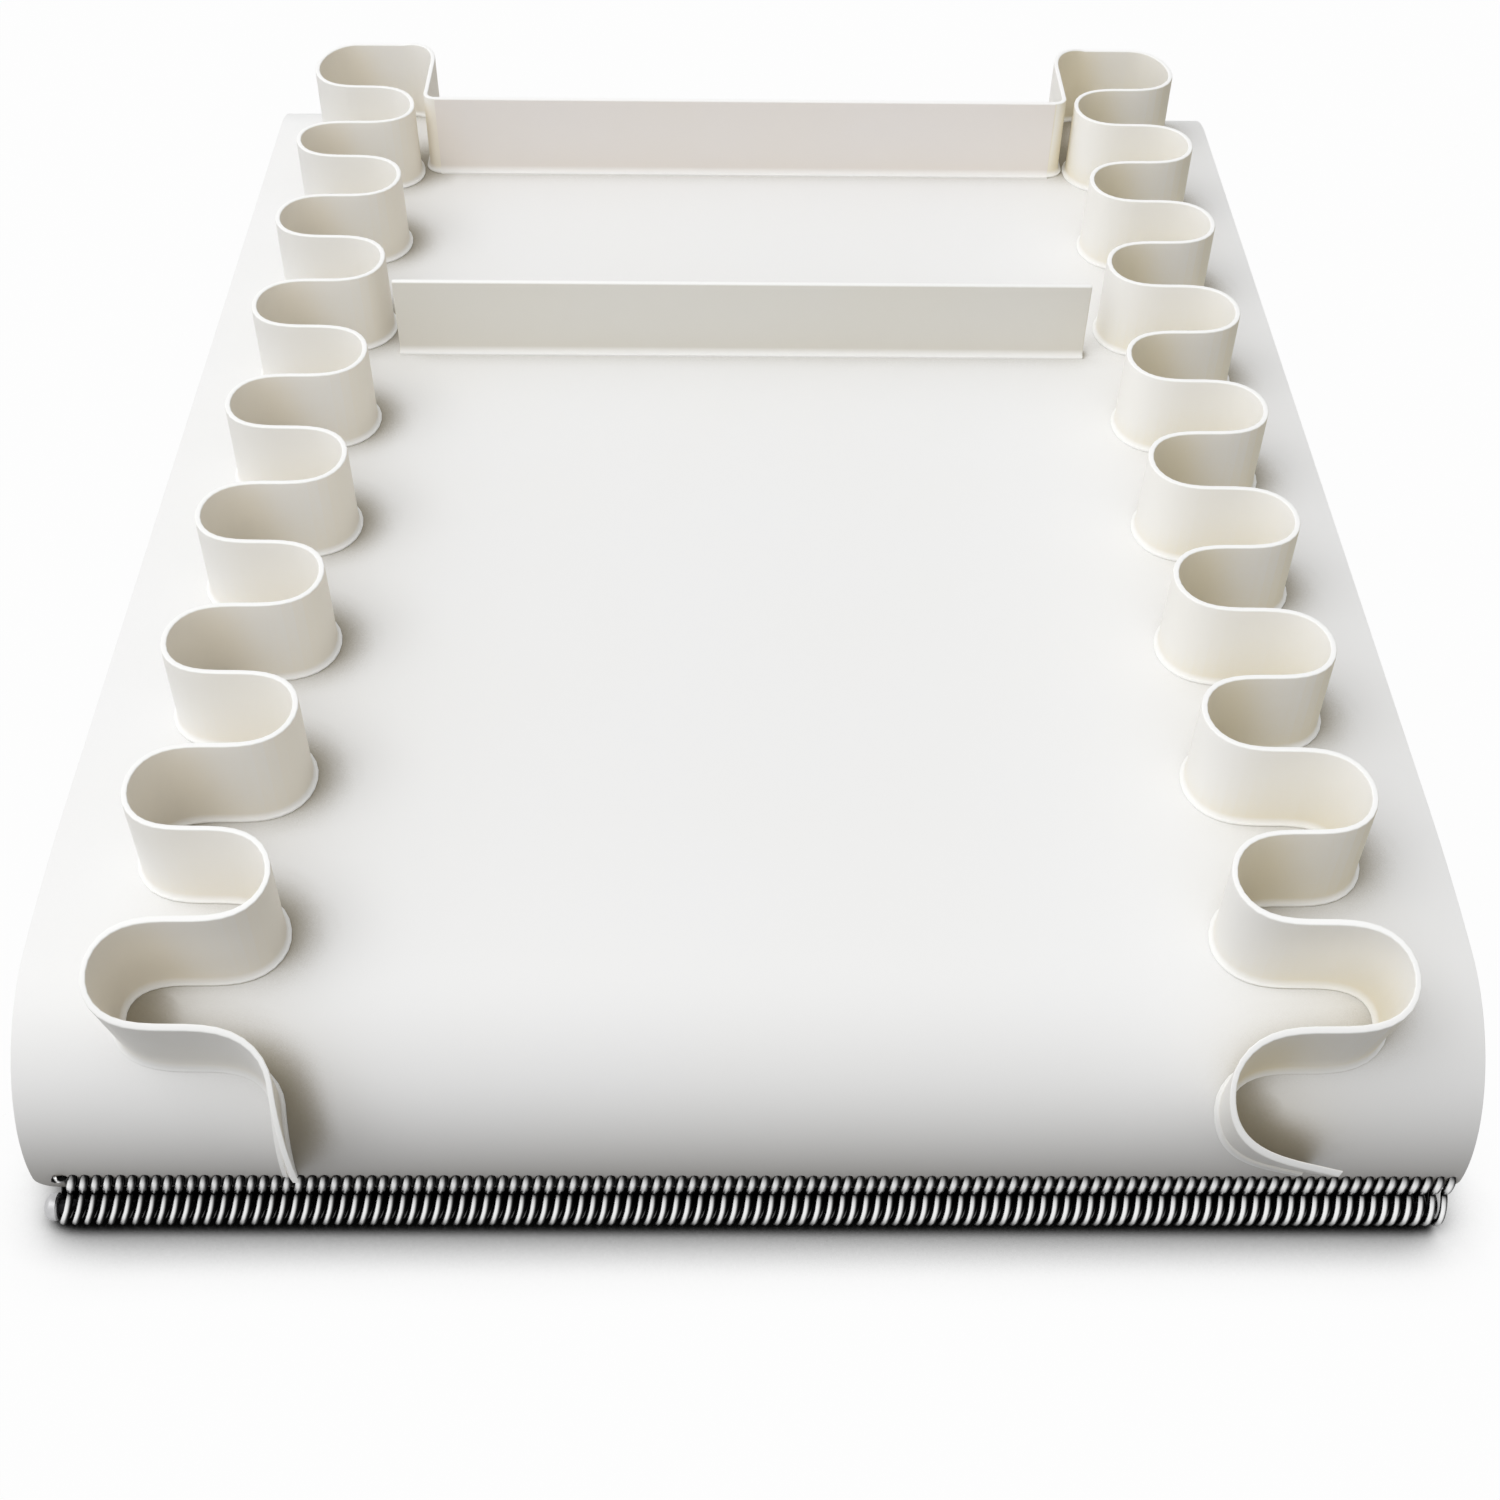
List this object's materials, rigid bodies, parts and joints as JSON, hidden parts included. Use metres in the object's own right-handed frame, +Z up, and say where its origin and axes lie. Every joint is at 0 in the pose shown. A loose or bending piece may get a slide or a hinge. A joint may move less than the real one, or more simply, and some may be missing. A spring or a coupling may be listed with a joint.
{
  "type": "pvc conveyor belt",
  "caption": "White PVC conveyor belt loop with wavy corrugated sidewalls, upright cross cleats and a steel spiral lacing joint held by a pull-out hinge pin.",
  "frame": {"origin": "middle of the belt loop's outline, on the floor plane under the return run", "axes": "+X across the belt to the right when looking at the laced front, +Y back from the lacing along the belt, +Z up from the floor"},
  "size_m": [0.4, 0.548, 0.1057],
  "materials": {
    "belt_cover": "smooth satin white PVC",
    "belt_ply": "white woven polyester",
    "belt_bond": "white PVC bond",
    "sidewall": "satin ivory PVC",
    "cleat": "satin ivory PVC",
    "lacing_wire": "drawn steel wire",
    "pin_steel": "drawn steel rod"
  },
  "bodies": {
    "carrying_belt": {"carrying_cover": "belt_cover", "carrying_upper_ply": "belt_ply", "carrying_bond_layer": "belt_bond", "carrying_lower_ply": "belt_ply", "left_sidewall": "sidewall", "right_sidewall": "sidewall", "rear_cleat": "cleat", "front_cleat": "cleat", "carrying_spiral": "lacing_wire"},
    "return_belt": {"return_cover": "belt_cover", "return_upper_ply": "belt_ply", "return_bond_layer": "belt_bond", "return_lower_ply": "belt_ply", "return_spiral": "lacing_wire"},
    "lacing_pin": {"hinge_pin": "pin_steel", "pin_head": "pin_steel"}
  },
  "joints": [
    {"name": "lacing_hinge", "type": "hinge", "parent": "carrying_belt", "child": "return_belt", "pos_m": [0, -0.256, 0.00525], "axis": [1, 0, 0], "range_deg": [-5, 5]},
    {"name": "pin_pull", "type": "slide", "parent": "carrying_belt", "child": "lacing_pin", "axis": [-1, 0, 0], "range_m": [0, 0.4]}
  ]
}
